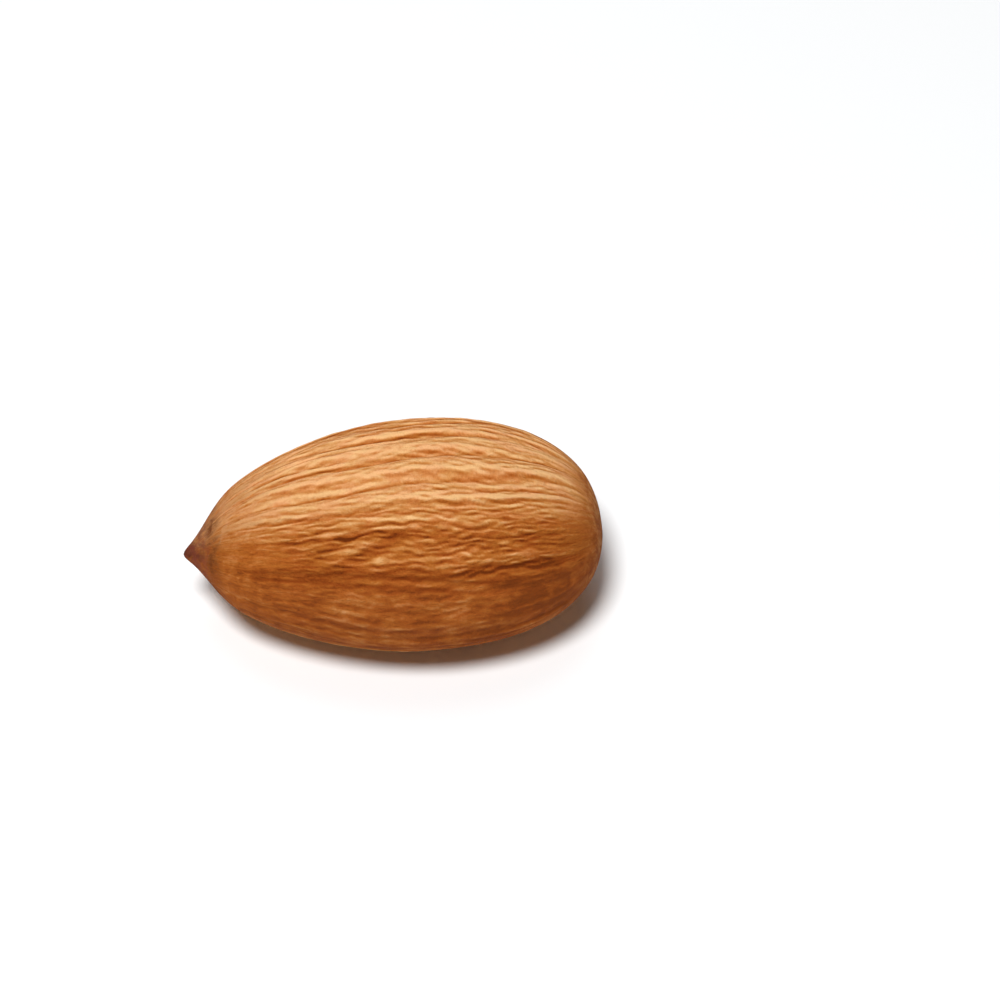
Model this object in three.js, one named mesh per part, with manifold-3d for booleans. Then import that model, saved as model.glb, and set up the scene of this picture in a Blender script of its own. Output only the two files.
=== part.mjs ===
// A shelled almond: one plump kernel in its brown, wrinkled skin, lying on a broad face.
// Millimetres, +Z up. The kernel's length runs along X, tip towards -X, and the origin is
// the middle of the small flat spot that it rests on.
import * as THREE from "three";
import { mergeVertices } from "three/addons/utils/BufferGeometryUtils.js";
import Module from "manifold-3d";

// Sizes of the kernel without its wrinkles
const length = 24;
const width = 14.9;
const upperHeight = 4.9; // from the widest level up to the crown of the upper face
const lowerHeight = 4.4; // from the widest level down to the lower face
const spotDepth = 0.14; // how much of the lower face the flat spot takes off
const restsAt = 0.55; // the flat spot's place, as a share of the length from the tip

// Outline powers: a low power makes a blunt end, a power near 1 makes a cone
const widthTaper = { tip: 0.605, blunt: 0.42 };
const heightTaper = { tip: 0.595, blunt: 0.465 };
const beak = { waist: 0.58, reach: 0.062, sharpness: 1.9 }; // narrows the first stretch to a nub
const tipDrop = { depth: 0.35, power: 6 }; // the tip hangs a little below the widest level
const squareness = 2.3; // power of the cross-section: 2 is an ellipse, more has fuller shoulders
const evening = 0.115; // turns an even share of the way round into the cross-section's angle

// Relief of the skin, in mm. count is how many waves of a train go round the kernel and
// drift is how fast a train slants along it, in radians per mm.
const swells = { seed: 11, trains: 5, count: [1, 4], drift: 0.2, depth: 0.08 };
const furrows = { seed: 23, trains: 9, count: [10, 15], drift: 0.26, depth: 0.2 };
const wrinkles = { seed: 37, trains: 10, count: [18, 24], drift: 0.5, depth: 0.06 };
const meander = { reach: 0.022, perMm: 0.7, turns: 3 }; // sideways wandering of all furrows
const grooveFloor = 0.35; // rounds the floor of a furrow
const ridgeTop = 1.05; // levels the highest ridges

// Where the relief is strong: on the two broad faces, away from the tip and the edges
const onFace = { from: 0.3, to: 0.62, least: 0.4 };
const pastTip = { from: 0.05, to: 0.26, least: 0.12 };
const beforeBlunt = { from: 1, to: 0.85 };

// Features that real kernels have: the line at which the upper face turns over to the near
// edge, the raphe along the far edge, the scar near the tip and the mark at the blunt end.
// Angles are measured round the kernel, 0 at the +Y edge and a quarter turn at the crown.
const faceLine = { above: 0.55, highestAt: 0.32, fall: 0.9, breadth: 0.05, depth: 0.09 };
const raphe = { round: 0.08, breadth: 0.07, height: 0.1 };
const scar = { along: 0.085, round: 0.1, length: 0.035, breadth: 0.2, depth: 0.16 };
const endMark = { reach: 0.02, depth: 0.15 };

// The relief fades out round the flat spot, over an oval with these half sizes in mm
const restingPatch = { alongX: 5.2, alongY: 3.6, from: 1.15, to: 0.75 };

// Fineness of the faceted surface
const stepsRound = 144;
const stepsAlong = 41;
const crowding = 0.9; // 0 spaces the rings evenly, 1 crowds them at the ends as on a sphere
const seamWeld = 1e-5; // joins points of the sphere of radius 1 that lie closer than this
const pointWeld = 1e-4; // joins points of the kernel that lie closer than this, in mm

// 0 at from and 1 at to, easing in between, whichever of the two is the larger
function smooth(from, to, value) {
  const step = THREE.MathUtils.clamp((value - from) / (to - from), 0, 1);
  return step * step * (3 - 2 * step);
}

const bell = (offset, breadth) => Math.exp(-((offset / breadth) ** 2));
const wrapped = (angle) => Math.atan2(Math.sin(angle), Math.cos(angle));

// The same sequence of numbers from 0 to 1 on every run
function seededDraw(seed) {
  let state = seed;
  return () => {
    state = (Math.imul(state, 1664525) + 1013904223) >>> 0;
    return state / 2 ** 32;
  };
}

// Wave trains that run side by side along the kernel; each goes round a whole number of times
function waveTrains({ seed, trains, count, drift }) {
  const draw = seededDraw(seed);
  return Array.from({ length: trains }, () => ({
    count: count[0] + Math.floor(draw() * (count[1] - count[0] + 1)),
    drift: (2 * draw() - 1) * drift,
    start: draw() * 2 * Math.PI,
  }));
}

function waveSum(trains, round, along) {
  let sum = 0;
  for (const train of trains) sum += Math.cos(train.count * round + train.drift * along + train.start);
  return sum / Math.sqrt(trains.length);
}

const swellTrains = waveTrains(swells);
const furrowTrains = waveTrains(furrows);
const wrinkleTrains = waveTrains(wrinkles);

// Rounded ridges with narrow grooves between them, where the wave sum passes through zero
const ridged = (sum) => Math.min(Math.hypot(sum, grooveFloor), ridgeTop) - ridgeTop / 2;

// Share of its greatest breadth that the kernel has at a share of the length from the tip
function taper(share, { tip, blunt }) {
  const peak = tip / (tip + blunt);
  const swell = (share / peak) ** tip * ((1 - share) / (1 - peak)) ** blunt;
  return swell * (1 - beak.waist * Math.exp(-((share / beak.reach) ** beak.sharpness)));
}

// How far the skin stands out from the plain kernel at a share of the length and of the
// way round, in mm
function relief(share, round) {
  const along = share * length;
  const face = smooth(onFace.from, onFace.to, Math.abs(Math.sin(round)));
  const tip = smooth(pastTip.from, pastTip.to, share);
  const blunt = smooth(beforeBlunt.from, beforeBlunt.to, share);
  const strength =
    (onFace.least + (1 - onFace.least) * face) * (pastTip.least + (1 - pastTip.least) * tip) * blunt;
  const wandering = round + meander.reach * Math.sin(meander.perMm * along + meander.turns * round);

  let out = swells.depth * waveSum(swellTrains, round, along) * tip * blunt;
  out += furrows.depth * strength * ridged(waveSum(furrowTrains, wandering, along));
  out += wrinkles.depth * strength * waveSum(wrinkleTrains, wandering, along);

  const lineAbove = faceLine.above - faceLine.fall * (share - faceLine.highestAt) ** 2;
  const fromLine = wrapped(round - Math.PI + lineAbove);
  out -= faceLine.depth * bell(fromLine, faceLine.breadth) * tip * blunt;

  out += raphe.height * bell(wrapped(round - raphe.round), raphe.breadth) * tip * blunt;
  const roundScar = bell(wrapped(round - scar.round), scar.breadth);
  out -= scar.depth * bell(share - scar.along, scar.length) * roundScar;
  out -= endMark.depth * bell(1 - share, endMark.reach);
  return out;
}

// A point of the skin at a share of the length and an angle round the kernel. The relief
// stands out square to an ellipse of the kernel's width and height.
function skinPoint(share, round, target) {
  const angle = round + evening * Math.sin(2 * round);
  const [across, up] = [Math.cos(angle), Math.sin(angle)];
  const bend = (value) => Math.sign(value) * Math.abs(value) ** (2 / squareness);
  const halfWidth = (width / 2) * taper(share, widthTaper);
  const halfHeight = (up > 0 ? upperHeight : lowerHeight) * taper(share, heightTaper);
  const level = lowerHeight - spotDepth - tipDrop.depth * (1 - share) ** tipDrop.power;

  target.set((share - restsAt) * length, halfWidth * bend(across), halfHeight * bend(up));
  const outward = new THREE.Vector3(0, target.y / (width / 2), target.z / lowerHeight).normalize();
  const nearSpot = Math.hypot(target.x / restingPatch.alongX, target.y / restingPatch.alongY);
  const kept = up < 0 ? smooth(restingPatch.to, restingPatch.from, nearSpot) : 1;
  target.addScaledVector(outward, relief(share, round) * kept);
  target.z += level;
  return target;
}

// The wrinkled skin, as a sphere whose points are carried to their places
function kernelGeometry() {
  const sphere = new THREE.SphereGeometry(1, stepsRound, stepsAlong);
  sphere.deleteAttribute("normal");
  sphere.deleteAttribute("uv");
  const geometry = mergeVertices(sphere, seamWeld);
  const position = geometry.getAttribute("position");
  const point = new THREE.Vector3();
  for (let i = 0; i < position.count; i += 1) {
    point.fromBufferAttribute(position, i);
    const share = THREE.MathUtils.lerp(Math.acos(point.y) / Math.PI, (1 - point.y) / 2, crowding);
    const round = Math.atan2(point.z, point.x);
    skinPoint(share, round, point);
    position.setXYZ(i, point.x, point.y, point.z);
  }
  return geometry;
}

const wasm = await Module();
wasm.setup();

function toSolid(geometry) {
  const bare = geometry.clone();
  bare.deleteAttribute("normal");
  bare.deleteAttribute("uv");
  const merged = mergeVertices(bare, pointWeld);
  return new wasm.Manifold(
    new wasm.Mesh({
      numProp: 3,
      vertProperties: merged.getAttribute("position").array,
      triVerts: new Uint32Array(merged.index.array),
    }),
  );
}

function toGeometry(solid) {
  const mesh = solid.getMesh();
  const geometry = new THREE.BufferGeometry();
  geometry.setAttribute("position", new THREE.BufferAttribute(mesh.vertProperties, 3));
  geometry.setIndex(new THREE.BufferAttribute(mesh.triVerts, 1));
  geometry.computeVertexNormals();
  return geometry;
}

// The flat spot is what a slab with its top at the resting level takes off
const slab = new THREE.BoxGeometry(2 * length, 2 * width, length).translate(0, 0, -length / 2);
const kernelSolid = toSolid(kernelGeometry()).subtract(toSolid(slab));

const skin = new THREE.MeshStandardMaterial({ color: 0xb8723c, roughness: 0.72, metalness: 0 });
const kernel = new THREE.Mesh(toGeometry(kernelSolid), skin);
kernel.name = "almond_kernel";

const almond = new THREE.Group();
almond.name = "almond";
almond.add(kernel);

export default almond;
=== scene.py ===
# A shelled almond in its wrinkled brown skin, on a pale studio floor
import math

import bmesh
import bpy
import numpy as np
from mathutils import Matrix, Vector


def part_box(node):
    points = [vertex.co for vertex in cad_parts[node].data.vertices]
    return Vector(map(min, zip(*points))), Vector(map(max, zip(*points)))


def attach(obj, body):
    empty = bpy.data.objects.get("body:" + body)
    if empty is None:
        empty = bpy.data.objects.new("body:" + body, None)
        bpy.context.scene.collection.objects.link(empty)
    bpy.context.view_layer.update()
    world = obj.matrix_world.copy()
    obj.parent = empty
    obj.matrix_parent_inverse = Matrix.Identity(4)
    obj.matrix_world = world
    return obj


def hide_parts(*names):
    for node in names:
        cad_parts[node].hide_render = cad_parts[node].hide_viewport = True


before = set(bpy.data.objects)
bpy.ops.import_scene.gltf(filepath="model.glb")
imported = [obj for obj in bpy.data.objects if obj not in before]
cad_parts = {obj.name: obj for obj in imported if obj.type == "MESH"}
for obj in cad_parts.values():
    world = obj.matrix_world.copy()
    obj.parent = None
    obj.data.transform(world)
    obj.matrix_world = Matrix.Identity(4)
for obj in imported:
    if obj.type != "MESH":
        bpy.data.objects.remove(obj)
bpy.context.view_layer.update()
mm = 0.001  # the kernel's sizes are given in millimetres, and Blender works in metres


# Camera

shot = {
    "azimuth": -5.0,  # degrees towards the tip's side
    "elevation": 48.0,
    "lens": 120.0,
    "sensor": 36.0,
    "frameWidth": 58.2,  # mm of the scene that the picture is wide, at the kernel
    "aimRight": 4.92,  # mm that the middle of the picture lies to the right of the resting spot
    "aimUp": 4.87,  # and above it
    "nearest": 0.01,  # metres between which the camera sees
    "furthest": 10,
}


def wayTo(place):  # the direction from the kernel to a camera or a lamp
    turn = math.radians(place["azimuth"])
    rise = math.radians(place["elevation"])
    return Vector((math.sin(turn) * math.cos(rise), -math.cos(turn) * math.cos(rise), math.sin(rise)))


def addFacing(name, data, place, aim, distance):  # a camera or a lamp that points at aim
    way = wayTo(place)
    holder = bpy.data.objects.new(name, data)
    bpy.context.scene.collection.objects.link(holder)
    holder.location = aim + way * distance
    holder.rotation_euler = (-way).to_track_quat("-Z", "Y").to_euler()
    return holder


def addCamera(shot):
    way = wayTo(shot)
    right = Vector((-way.y, way.x, 0)).normalized()
    up = way.cross(right)
    aim = (right * shot["aimRight"] + up * shot["aimUp"]) * mm
    distance = shot["frameWidth"] * mm * shot["lens"] / shot["sensor"]

    camera = bpy.data.cameras.new("camera")
    camera.lens = shot["lens"]
    camera.sensor_width = shot["sensor"]
    camera.clip_start = shot["nearest"]
    camera.clip_end = shot["furthest"]
    bpy.context.scene.camera = addFacing("camera", camera, shot, aim, distance)


addCamera(shot)
print("camera placed")


# Shader building

class Wire:  # a socket of a shader that arithmetic works on
    def __init__(self, bench, socket):
        self.bench = bench
        self.socket = socket

    def math(self, operation, *values):
        return self.bench.node("ShaderNodeMath", {"operation": operation}, dict(enumerate(values)))

    def __add__(self, other):
        return self.math("ADD", self, other)

    def __sub__(self, other):
        return self.math("SUBTRACT", self, other)

    def __rsub__(self, other):
        return self.math("SUBTRACT", other, self)

    def __mul__(self, other):
        return self.math("MULTIPLY", self, other)

    __radd__ = __add__
    __rmul__ = __mul__


class Bench:  # a material with one Principled shader, and what is made for it
    def __init__(self, name):
        self.material = bpy.data.materials.new(name)
        self.material.use_nodes = True
        self.tree = self.material.node_tree
        self.shader = self.tree.nodes["Principled BSDF"]

    def node(self, kind, settings, values, output=0):
        made = self.tree.nodes.new(kind)
        for name, value in settings.items():
            if name == "stops":
                self.setStops(made.color_ramp, value)
            else:
                setattr(made, name, value)
        for name, value in values.items():
            self.plug(made.inputs[name], value)
        return Wire(self, made.outputs[output])

    def setStops(self, ramp, stops):
        while len(ramp.elements) < len(stops):
            ramp.elements.new(1)
        for element, (place, colour) in zip(ramp.elements, stops):
            element.position = place
            element.color = (*colour, 1)

    def plug(self, socket, value):
        if isinstance(value, Wire):
            self.tree.links.new(value.socket, socket)
        else:
            socket.default_value = value

    def set(self, values):
        for name, value in values.items():
            self.plug(self.shader.inputs[name], value)

    def number(self, name):
        return self.node("ShaderNodeAttribute", {"attribute_name": name}, {}, "Fac")

    def place(self, name):
        return self.node("ShaderNodeAttribute", {"attribute_name": name}, {}, "Vector")

    def objectPlace(self):
        return self.node("ShaderNodeTexCoord", {}, {}, "Object")

    def stretch(self, vector, scale):
        return self.node("ShaderNodeVectorMath", {"operation": "MULTIPLY"}, {0: vector, 1: scale})

    def noise(self, vector, pattern):
        values = {
            "Vector": self.stretch(vector, pattern["stretch"]),
            "Scale": 1,
            "Detail": pattern["detail"],
            "Roughness": pattern["roughness"],
            "Distortion": pattern["distortion"],
        }
        return self.node("ShaderNodeTexNoise", {}, values, "Fac")

    def between(self, value, span):  # 0 at the first end of the span and 1 at the last, easing
        settings = {"interpolation_type": "SMOOTHSTEP"}
        values = {"Value": value, "From Min": span[0], "From Max": span[1]}
        return self.node("ShaderNodeMapRange", settings, values)

    def ramp(self, factor, stops):
        return self.node("ShaderNodeValToRGB", {"stops": stops}, {"Fac": factor}, "Color")

    def mix(self, factor, colour, other, way="MIX"):
        settings = {"data_type": "RGBA", "blend_type": way}
        sockets = {"factor": 0, "colour": 6, "other": 7, "result": 2}
        values = {sockets["factor"]: factor, sockets["colour"]: colour, sockets["other"]: (*other, 1)}
        return self.node("ShaderNodeMix", settings, values, sockets["result"])

    def bump(self, height, distance):
        return self.node("ShaderNodeBump", {}, {"Height": height, "Distance": distance}, "Normal")


# Kernel

# Lengths are in mm. Places along the kernel are shares of its length from the tip, and places
# round it are angles in radians, 0 at the far edge and a quarter turn at the crown. A pair is
# where something begins and where it is at its full strength, or else the note beside it says.
kernel = {
    "width": 14.9,
    "upperHeight": 4.9,  # from the widest level up to the crown
    "lowerHeight": 4.4,
    "spotDepth": 0.14,  # what the flat resting spot takes off
    "widthTaper": (0.605, 0.42),  # outline powers at the tip and at the blunt end
    "heightTaper": (0.595, 0.465),
    "beak": {"waist": 0.58, "reach": 0.062, "sharpness": 1.9},  # narrows the tip to a nub
    "tipDrop": {"depth": 0.35, "power": 6},  # the tip hangs below the widest level
    "squareness": 2.3,  # 2 is an elliptical section, more has fuller shoulders
    "evening": 0.115,  # spreads the steps evenly round the section
    "restingPatch": {"alongX": 5.2, "alongY": 3.6, "span": (0.75, 1.15)},  # without relief
    "stepsRound": 620,
    "stepsAlong": 160,
    "crowding": 0.6,  # 0 spaces the rings evenly, 1 crowds them at the ends
    "seamWeld": 1e-7,  # metres
    "grainRadius": 0.38,  # of the round bar that the grain is laid on, as a share of the width
    # trains of waves that run along the kernel: how many go round it, how fast they slant in
    # radians per mm, both between two limits, how deep they are, how much lighter their tops
    # are, and how rounded the floor is where they are folded into ridges. The lighter tops and
    # darker grooves are partly the skin's own colour and partly painted highlight and painted shade
    "waves": {
        "swells": {"seed": 11, "trains": 5, "count": (1, 4), "drift": (-0.2, 0.2), "depth": 0.08},
        "patches": {"seed": 43, "trains": 12, "count": (3, 11), "drift": (-0.8, 0.8)},
        "kinks": {"seed": 97, "trains": 30, "count": (16, 60), "drift": (-5.0, 5.0)},
        "furrows": {
            "seed": 23, "trains": 9, "count": (10, 15), "drift": (-0.26, 0.26),
            "depth": 0.2, "tone": 0.1, "floor": 0.35,
        },
        "wrinkles": {
            "seed": 37, "trains": 10, "count": (18, 24), "drift": (-0.5, 0.5),
            "depth": 0.06, "tone": 0.05,
        },
        "ridges": {
            "seed": 61, "trains": 40, "count": (34, 76), "drift": (-0.5, 0.5),
            "depth": 0.031, "tone": 0.2,
        },
        "braids": {
            "seed": 53, "trains": 40, "count": (16, 44), "drift": (-2.0, 2.0),
            "depth": 0.04, "tone": 0.13, "floor": 0.25,
        },
        "puckers": {
            "seed": 89, "trains": 30, "count": (14, 30), "drift": (1.0, 3.0),
            "depth": 0.057, "tone": 0.13,
        },
        "threads": {
            "seed": 71, "trains": 40, "count": (54, 126), "drift": (-6.0, 6.0),
            "depth": 0.015, "tone": 0.16,
        },
    },
    # where the relief is strong or weak, and the marks that stand alone in it
    "relief": {
        "ridgeTop": 1.05,  # levels the highest ridges
        "onFace": {"span": (0.3, 0.62), "least": 0.4},  # by the sine of the angle
        "farRim": (0.08, 0.4),  # and this
        "pastTip": {"span": (0.05, 0.26), "least": 0.12},
        "beforeEnd": (1.0, 0.85),
        "shortBends": (0.97, 0.78),  # nearer the end the lines run straight
        "meander": {"reach": 0.022, "perMm": 0.7, "turns": 3, "kinks": 0.012},
        "patchy": (-1.1, 0.9),  # by the height of the patches' waves
        "rough": {"round": 2.3, "breadth": 0.42, "least": 0.15},  # where the braids are strongest
        "slant": {"along": 0.4, "length": 0.17, "round": 2.32, "breadth": 0.26},  # for the puckers
        "bare": {"along": 0.17, "length": 0.13, "round": 2.45, "breadth": 0.28, "taken": 0.75},
        # the crown's mask also makes the colour paler about it: partly the skin's pale bloom, partly painted
        # highlight of the sheen on top
        "crown": {"round": 1.27, "span": (0.55, 0.95), "softer": 0.3, "along": (0.65, 0.35)},
        "finerOffFace": 0.2,
        "ridges": {"least": 0.35, "patchy": 0.75, "most": 1.15, "rough": 0.65},
        "threadsAtEnd": 0.35,
        "paintedCreaseShade": {"tone": 0.14, "breadth": 0.28},  # painted shade: the floors of the furrows are darker
        "blots": [  # lighter and darker places of the near edge
            {"along": 0.61, "length": 0.1, "round": 2.9, "breadth": 0.15, "tone": 0.22},
            {"along": 0.8, "length": 0.09, "round": 2.95, "breadth": 0.26, "tone": -0.32},
            {"along": 0.22, "length": 0.12, "round": 2.62, "breadth": 0.12, "tone": -0.14},
            {"along": 0.46, "length": 0.06, "round": 2.16, "breadth": 0.06, "tone": -0.16},
            {"along": 0.5, "length": 0.28, "round": 2.37, "breadth": 0.1, "tone": 0.15},
        ],
        "blotRelief": 0.9,
        "faceLine": {"above": 0.55, "highestAt": 0.32, "fall": 0.9, "breadth": 0.05, "depth": 0.09},
        "calm": {"breadth": 0.08, "taken": 0.5},  # beside that line
        "hairLines": {
            "apart": 0.095, "breadth": 0.019, "depth": 0.045, "least": 0.5,
            "start": (0.1, 0.2), "end": (0.8, 0.6),
        },
        "raphe": {"round": 0.08, "breadth": 0.07, "height": 0.1},
        "scar": {"along": 0.085, "length": 0.035, "round": 0.1, "breadth": 0.2, "depth": 0.16},
        "endMark": {"reach": 0.02, "depth": 0.15},
    },
}
waves = kernel["waves"]
relief = kernel["relief"]


def smooth(span, value):  # 0 at the first end of the span and 1 at the last, easing between
    start, end = span
    step = np.clip((value - start) / (end - start), 0, 1)
    return step * step * (3 - 2 * step)


def atLeast(least, amount):
    return least + (1 - least) * amount


def bell(offset, breadth):
    return np.exp(-((offset / breadth) ** 2))


def wrapped(angle):  # the same direction, between half a turn back and half a turn on
    return np.arctan2(np.sin(angle), np.cos(angle))


def bellRound(around, place):
    return bell(wrapped(around - place["round"]), place["breadth"])


def bellAt(share, around, place):
    return bell(share - place["along"], place["length"]) * bellRound(around, place)


def seededDraw(seed):  # the same numbers from 0 to 1 on every run
    state = seed
    while True:
        state = (state * 1664525 + 1013904223) & 0xFFFFFFFF
        yield state / 2**32


def waveSum(name, around, along):
    train = waves[name]
    low, high = train["count"]
    slow, fast = train["drift"]
    draw = seededDraw(train["seed"])
    total = np.zeros_like(around)
    for _ in range(train["trains"]):
        count = low + math.floor(next(draw) * (high - low + 1))
        drift = slow + next(draw) * (fast - slow)
        start = next(draw) * 2 * math.pi
        total += np.cos(count * around + drift * along + start)
    return total / math.sqrt(train["trains"])


def ridged(name, total):  # rounded ridges with narrow grooves between them
    top = relief["ridgeTop"]
    return np.minimum(np.hypot(total, waves[name]["floor"]), top) - top / 2


def skinLayers(share, around, along, face, strength):  # how far each layer stands out
    meander = relief["meander"]
    wandering = around + meander["reach"] * np.sin(meander["perMm"] * along + meander["turns"] * around)
    bends = smooth(relief["shortBends"], share)
    roughness = atLeast(relief["rough"]["least"], bellRound(around, relief["rough"]))
    kinked = wandering + meander["kinks"] * roughness * bends * waveSum("kinks", around, along)
    slanting = bellAt(share, around, relief["slant"])
    patches = smooth(relief["patchy"], waveSum("patches", around, along))

    # paler about the crown and the face under it: partly the skin's pale bloom, partly painted highlight
    crown = smooth(relief["crown"]["span"], np.abs(np.cos(around - relief["crown"]["round"])))
    softer = relief["crown"]["softer"] * crown * smooth(relief["crown"]["along"], share)
    fine = 1 - softer + relief["finerOffFace"] * (1 - face)
    ridges = relief["ridges"]
    ridging = (ridges["least"] + ridges["patchy"] * patches) * (ridges["most"] - ridges["rough"] * roughness)

    furrows = waveSum("furrows", kinked, along)
    layers = {
        "furrows": ridged("furrows", furrows),
        "wrinkles": waveSum("wrinkles", wandering, along),
        "ridges": waveSum("ridges", kinked, along) * ridging * fine,
        "braids": -ridged("braids", waveSum("braids", kinked, along)) * roughness * (1 - slanting) * bends,
        "puckers": waveSum("puckers", kinked, along) * slanting,
        "threads": waveSum("threads", kinked, along) * fine * atLeast(relief["threadsAtEnd"], bends),
    }
    # painted shade in the floors of the furrows, taken off the tone
    paintedCreaseShade = relief["paintedCreaseShade"]["tone"] * strength * bell(furrows, relief["paintedCreaseShade"]["breadth"])
    return layers, paintedCreaseShade, crown, patches


def skinRelief(share, around, along):  # how far the skin stands out in mm, and its markings
    onFace = relief["onFace"]
    pastTip = relief["pastTip"]
    edgewise = np.abs(np.sin(around))
    face = smooth(onFace["span"], edgewise)
    tip = smooth(pastTip["span"], share)
    inner = tip * smooth(relief["beforeEnd"], share)
    blots = sum(blot["tone"] * bellAt(share, around, blot) for blot in relief["blots"])

    faceLine = relief["faceLine"]
    lineAbove = faceLine["above"] - faceLine["fall"] * (share - faceLine["highestAt"]) ** 2
    fromLine = wrapped(around - math.pi + lineAbove)
    calm = bell(fromLine, relief["calm"]["breadth"]) * inner

    strength = atLeast(onFace["least"], face) * atLeast(pastTip["least"], tip)
    strength *= smooth(relief["beforeEnd"], share)
    strength *= 1 - relief["bare"]["taken"] * bellAt(share, around, relief["bare"])
    strength += relief["blotRelief"] * np.maximum(blots, 0)
    strength *= 1 - relief["calm"]["taken"] * calm

    layers, paintedCreaseShade, crown, patches = skinLayers(share, around, along, face, strength)
    out = waves["swells"]["depth"] * waveSum("swells", around, along) * inner
    tone = blots - paintedCreaseShade
    # darker grooves and lighter tops: partly the skin's own colour, partly painted shade and painted
    # highlight
    for name, layer in layers.items():
        out += strength * waves[name]["depth"] * layer
        tone += strength * waves[name]["tone"] * layer

    hairLines = relief["hairLines"]
    hair = smooth(hairLines["start"], share) * smooth(hairLines["end"], share)
    hair *= atLeast(hairLines["least"], patches)
    hair *= sum(bell(fromLine - side * hairLines["apart"] / 2, hairLines["breadth"]) for side in (-1, 1))

    out -= faceLine["depth"] * bell(fromLine, faceLine["breadth"]) * inner
    out -= hairLines["depth"] * hair
    out += relief["raphe"]["height"] * bellRound(around, relief["raphe"]) * inner
    out -= relief["scar"]["depth"] * bellAt(share, around, relief["scar"])
    out -= relief["endMark"]["depth"] * bell(1 - share, relief["endMark"]["reach"])
    flank = 1 - np.where(np.cos(around) > 0, smooth(relief["farRim"], edgewise), face)
    return out, {"tone": tone, "flank": flank, "crown": crown, "hair": hair, "share": share}


def taper(share, powers):  # share of its greatest breadth that the kernel has
    tip, blunt = powers
    peak = tip / (tip + blunt)
    swell = (share / peak) ** tip * ((1 - share) / (1 - peak)) ** blunt
    beak = kernel["beak"]
    return swell * (1 - beak["waist"] * np.exp(-((share / beak["reach"]) ** beak["sharpness"])))


def skinSheet(kernel):  # a flat sheet, x going round the kernel and y along it, both from -1 to 1
    sheet = bmesh.new()
    bmesh.ops.create_grid(
        sheet, x_segments=kernel["stepsRound"], y_segments=kernel["stepsAlong"], size=1
    )
    mesh = bpy.data.meshes.new("almond_skin")
    sheet.to_mesh(mesh)
    sheet.free()
    return mesh


def sheetPlaces(kernel, mesh):  # the share of the length and the way round of each of its points
    points = np.zeros(len(mesh.vertices) * 3)
    mesh.vertices.foreach_get("co", points)
    across, upward = points.reshape(-1, 3)[:, :2].T
    even = (1 + upward) / 2
    crowded = (1 - np.cos(even * math.pi)) / 2
    share = np.clip(even + (crowded - even) * kernel["crowding"], 0, 1)
    return share, across * math.pi


def skinPoints(kernel, share, around, low, length, out):
    angle = around + kernel["evening"] * np.sin(2 * around)
    across = np.cos(angle)
    up = np.sin(angle)
    power = 2 / kernel["squareness"]
    halfWidth = kernel["width"] / 2 * taper(share, kernel["widthTaper"])
    halfHeight = np.where(up > 0, kernel["upperHeight"], kernel["lowerHeight"])
    x = low.x / mm + share * length
    y = halfWidth * np.sign(across) * np.abs(across) ** power
    z = halfHeight * taper(share, kernel["heightTaper"]) * np.sign(up) * np.abs(up) ** power

    patch = kernel["restingPatch"]
    fromSpot = smooth(patch["span"], np.hypot(x / patch["alongX"], y / patch["alongY"]))
    outY = y / (kernel["width"] / 2)
    outZ = z / kernel["lowerHeight"]
    size = np.maximum(np.hypot(outY, outZ), np.finfo(float).eps)
    lift = out * np.where(up < 0, fromSpot, 1) / size
    y = y + outY * lift
    z = z + outZ * lift
    z += kernel["lowerHeight"] - kernel["spotDepth"]
    z -= kernel["tipDrop"]["depth"] * (1 - share) ** kernel["tipDrop"]["power"]
    return np.column_stack((x, y, np.maximum(z, 0))) * mm


def closeSeam(mesh, weld):  # joins the sheet's edges where they meet
    skin = bmesh.new()
    skin.from_mesh(mesh)
    bmesh.ops.remove_doubles(skin, verts=skin.verts, dist=weld)
    for face in skin.faces:
        face.smooth = True
    skin.to_mesh(mesh)
    skin.free()


def addSkin(kernel):
    mesh = skinSheet(kernel)
    share, around = sheetPlaces(kernel, mesh)
    low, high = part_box("almond_kernel")
    length = (high.x - low.x) / mm
    along = share * length
    out, marks = skinRelief(share, around, along)
    points = skinPoints(kernel, share, around, low, length, out)
    mesh.vertices.foreach_set("co", points.ravel())

    radius = kernel["width"] * kernel["grainRadius"]
    grain = np.column_stack((along, radius * np.cos(around), radius * np.sin(around)))
    for name, values in marks.items():
        mesh.attributes.new(name, "FLOAT", "POINT").data.foreach_set("value", values)
    mesh.attributes.new("grain", "FLOAT_VECTOR", "POINT").data.foreach_set("vector", grain.ravel())
    closeSeam(mesh, kernel["seamWeld"])

    skin = bpy.data.objects.new("almond_skin", mesh)
    bpy.context.scene.collection.objects.link(skin)
    return skin


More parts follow.
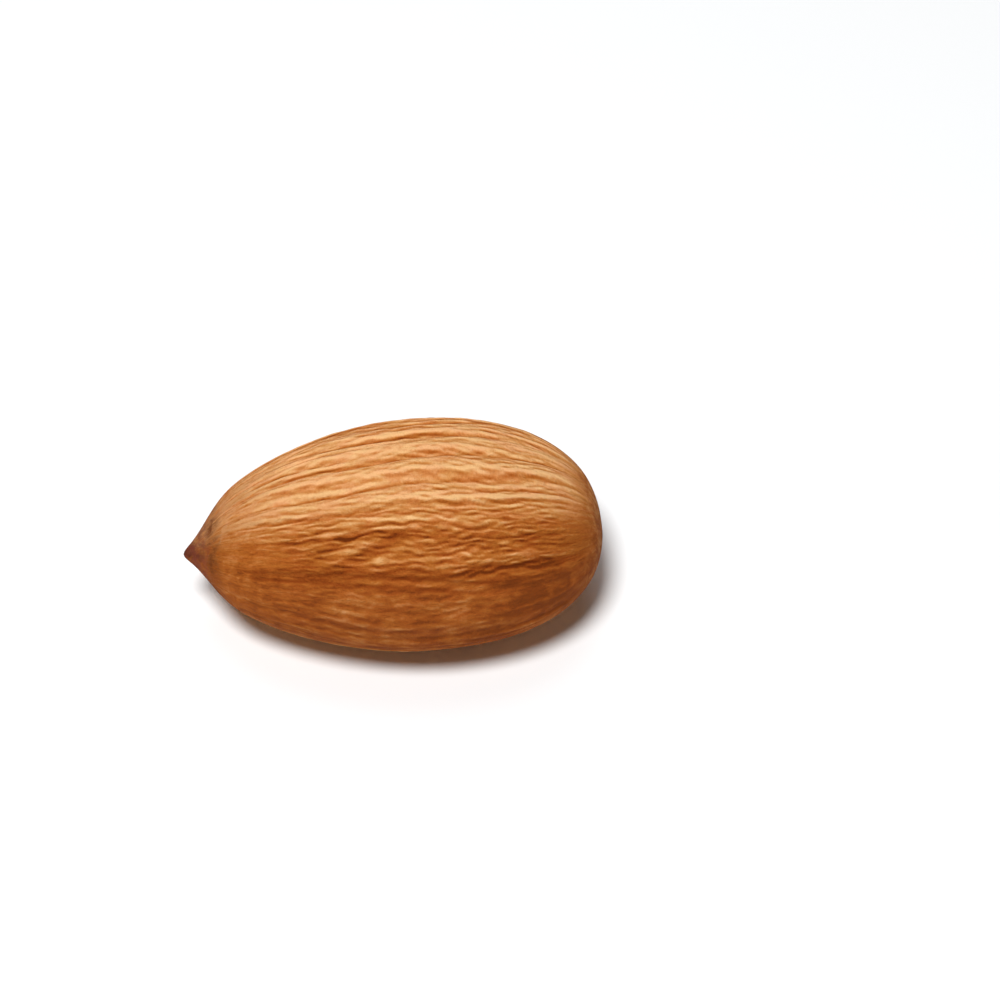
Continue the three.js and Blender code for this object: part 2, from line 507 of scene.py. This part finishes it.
# Colours are linear light. The spans of tip, end, beak, collar and spots are shares of the
# kernel's length, and the others are values of a pattern, between which something fades in.
skinLook = {
    # the dark stops, reached in the grooves, carry painted shade and the light stops, reached on the crests,
    # painted highlight, beside the skin's own colour
    "stops": (
        (0.1, (0.14, 0.026, 0.003)),  # grooves
        (0.25, (0.28, 0.062, 0.007)),
        (0.45, (0.44, 0.132, 0.02)),  # body
        (0.64, (0.62, 0.26, 0.075)),  # ridges
        (0.86, (0.86, 0.5, 0.22)),  # crests
    ),
    # patterns laid on the grain, stretched along it, and patterns cut through the kernel
    "onGrain": {
        "streaks": {"stretch": (0.4, 3.2, 3.2), "detail": 4, "roughness": 0.6, "distortion": 0},
        "fibres": {"stretch": (1.8, 5, 5), "detail": 4, "roughness": 0.7, "distortion": 0.5},
        "mottle": {"stretch": (0.5, 0.85, 0.85), "detail": 4, "roughness": 0.55, "distortion": 0},
        "dust": {"stretch": (7, 7, 7), "detail": 4, "roughness": 0.7, "distortion": 0},
        "hue": {"stretch": (0.7, 1.9, 1.9), "detail": 3, "roughness": 0.55, "distortion": 0},
    },
    "inside": {
        "freckle": {"stretch": (0.9, 1.7, 1.7), "detail": 4, "roughness": 0.6, "distortion": 0.6},
        "specks": {"stretch": (1.8, 1.8, 1.8), "detail": 3, "roughness": 0.55, "distortion": 0.4},
    },
    # how light the skin is, as a place between the stops; what the crown adds is partly the skin's pale
    # bloom and partly painted highlight
    "light": {
        "base": 0.2, "tone": 0.9, "crown": 0.3,
        "streaks": 0.2, "fibres": 0.4, "dust": 0.25, "mottle": 0.15,
    },
    "flank": {"mottle": 0.9, "freckle": 0.8, "darker": 0.91, "fewerLines": 0.6},
    "tip": {"span": (0.08, 0.3), "freckle": 1.1, "darker": 0.47},
    "end": {"span": (0.91, 0.99), "freckle": 0.9, "darker": 0.42, "fewerLines": 0.8, "lessCrown": 0.85},
    # what is laid over that colour
    "rosy": {"colour": (1.0, 0.9, 0.93), "span": (0.4, 0.62)},
    "edge": {"colour": (0.39, 0.1, 0.018), "strength": 0.4},
    "flush": {"colour": (0.44, 0.118, 0.016), "freckle": 0.8, "least": 0.1},
    "beak": {
        "colour": (0.27, 0.066, 0.034), "span": (0.055, 0.1), "waver": 0.04,
        "specks": (0.35, 0.65), "broken": 0.75,
    },
    # dark freckled ring where the nub meets the body: partly the skin's own dark spots, partly painted shade
    # in that crease
    "collar": {
        "colour": (0.19, 0.046, 0.006), "start": (0.05, 0.068), "end": (0.075, 0.1),
        "freckle": (0.32, 0.68), "strength": 0.85,
    },
    "spots": {
        "colour": (0.1, 0.018, 0.005), "end": (0.04, 0.09),
        "freckle": (0.44, 0.66), "strength": 0.5,
    },
    "hairLine": {"colour": (0.2, 0.035, 0.004), "strength": 0.75},
    "roughness": {"base": 0.62, "dust": 0.16, "ridges": 0.08, "span": (-0.2, 0.5)},
    "bump": {"distance": 0.00016, "dust": 0.5, "fibres": 0.8},
    "specular": 0.04,
}


def skinPatterns(bench, look):
    grain = bench.place("grain")
    inside = bench.stretch(bench.objectPlace(), (1 / mm, 1 / mm, 1 / mm))
    patterns = {name: bench.noise(grain, pattern) for name, pattern in look["onGrain"].items()}
    patterns.update({name: bench.noise(inside, pattern) for name, pattern in look["inside"].items()})
    return patterns


def skinLightness(bench, look, marks, patterns):
    light, flank, tip, end = (look[name] for name in ("light", "flank", "tip", "end"))
    nearTip = 1 - bench.between(marks["share"], tip["span"])
    nearEnd = bench.between(marks["share"], end["span"])
    freckle = patterns["freckle"]
    mottle = patterns["mottle"]
    middle = 0.5  # what the values of a noise pattern vary about

    streaks = (patterns["streaks"] - middle) * light["streaks"]
    fibres = (patterns["fibres"] - middle) * light["fibres"]
    kept = (1 - marks["flank"] * flank["fewerLines"]) * (1 - nearEnd * end["fewerLines"])
    # painted highlight, partly the skin's pale bloom: lighter about the crown
    crown = marks["crown"] * (1 - nearEnd * end["lessCrown"]) * light["crown"]
    level = light["base"] + marks["tone"] * light["tone"] + crown + (streaks + fibres) * kept
    level = level + patterns["dust"] * light["dust"] + mottle * light["mottle"]
    level = level + nearEnd * (freckle * end["freckle"] - end["darker"])
    level = level + nearTip * (freckle * tip["freckle"] - tip["darker"])
    return level + marks["flank"] * (mottle * flank["mottle"] + freckle * flank["freckle"] - flank["darker"])


def skinColour(bench, look, marks, patterns):
    rosy, edge, flush, beak = (look[name] for name in ("rosy", "edge", "flush", "beak"))
    collar, spots, hairLine = (look[name] for name in ("collar", "spots", "hairLine"))
    share = marks["share"]
    freckle = patterns["freckle"]

    colour = bench.ramp(skinLightness(bench, look, marks, patterns), look["stops"])
    colour = bench.mix(bench.between(patterns["hue"], rosy["span"]), colour, rosy["colour"], "MULTIPLY")
    colour = bench.mix(marks["flank"] * edge["strength"], colour, edge["colour"])

    nearTip = 1 - bench.between(share, look["tip"]["span"])
    colour = bench.mix(nearTip * (freckle * flush["freckle"] + flush["least"]), colour, flush["colour"])
    onBeak = 1 - bench.between(share + freckle * beak["waver"], beak["span"])
    whole = 1 - bench.between(patterns["specks"], beak["specks"]) * beak["broken"]
    colour = bench.mix(onBeak * whole, colour, beak["colour"])

    # partly the skin's own dark spots and partly painted shade in the crease behind the nub
    onCollar = bench.between(share, collar["start"]) * (1 - bench.between(share, collar["end"]))
    freckled = bench.between(freckle, collar["freckle"]) * collar["strength"]
    colour = bench.mix(onCollar * freckled, colour, collar["colour"])
    beforeCollar = 1 - bench.between(share, spots["end"])
    freckled = bench.between(freckle, spots["freckle"]) * spots["strength"]
    colour = bench.mix(beforeCollar * freckled, colour, spots["colour"])
    return bench.mix(marks["hair"] * hairLine["strength"], colour, hairLine["colour"])


def skinMaterial(look):
    bench = Bench("almond skin")
    marks = {name: bench.number(name) for name in ("tone", "share", "flank", "crown", "hair")}
    patterns = skinPatterns(bench, look)
    dust = patterns["dust"]
    roughness = look["roughness"]
    smoother = bench.between(marks["tone"], roughness["span"]) * roughness["ridges"]
    bump = look["bump"]
    height = dust * bump["dust"] + patterns["fibres"] * bump["fibres"]
    bench.set({
        "Base Color": skinColour(bench, look, marks, patterns),
        "Roughness": roughness["base"] + dust * roughness["dust"] - smoother,
        "Normal": bench.bump(height, bump["distance"]),
        "Specular IOR Level": look["specular"],
    })
    return bench.material


skin = addSkin(kernel)
skin.data.materials.append(skinMaterial(skinLook))
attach(skin, "root")
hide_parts("almond_kernel")
print("kernel made:", len(skin.data.vertices), "points")


# Floor and light

studio = {
    "floorSize": 3.0,
    "floorColour": (0.9, 0.91, 0.917),
    "floorRoughness": 0.7,
    "floorSpecular": 0.2,
    "sky": 0.065,  # strength of the even white light from all round
    # azimuth and elevation in degrees, distance and size in metres, power in watts
    "lamps": {
        "key": {"azimuth": -36, "elevation": 72, "distance": 0.5, "size": 0.18, "power": 2.6},
        "back": {"azimuth": 180, "elevation": 58, "distance": 0.7, "size": 0.5, "power": 1.0},
    },
}


def addFloor(studio):
    plane = bmesh.new()
    bmesh.ops.create_grid(plane, x_segments=1, y_segments=1, size=studio["floorSize"] / 2)
    mesh = bpy.data.meshes.new("floor")
    plane.to_mesh(mesh)
    plane.free()
    floor = bpy.data.objects.new("floor", mesh)
    bpy.context.scene.collection.objects.link(floor)
    bench = Bench("studio floor")
    bench.set({
        "Base Color": (*studio["floorColour"], 1),
        "Roughness": studio["floorRoughness"],
        "Specular IOR Level": studio["floorSpecular"],
    })
    mesh.materials.append(bench.material)


def addLamp(name, lamp):
    light = bpy.data.lights.new(name, "AREA")
    light.shape = "DISK"
    light.size = lamp["size"]
    light.energy = lamp["power"]
    addFacing(name, light, lamp, Vector(), lamp["distance"])


def addSky(strength):
    world = bpy.data.worlds.new("studio")
    world.use_nodes = True
    background = world.node_tree.nodes["Background"]
    background.inputs["Color"].default_value = (1, 1, 1, 1)
    background.inputs["Strength"].default_value = strength
    bpy.context.scene.world = world


addFloor(studio)
for name, lamp in studio["lamps"].items():
    addLamp(name, lamp)
addSky(studio["sky"])
bpy.context.scene.view_settings.view_transform = "Standard"
print("studio made")
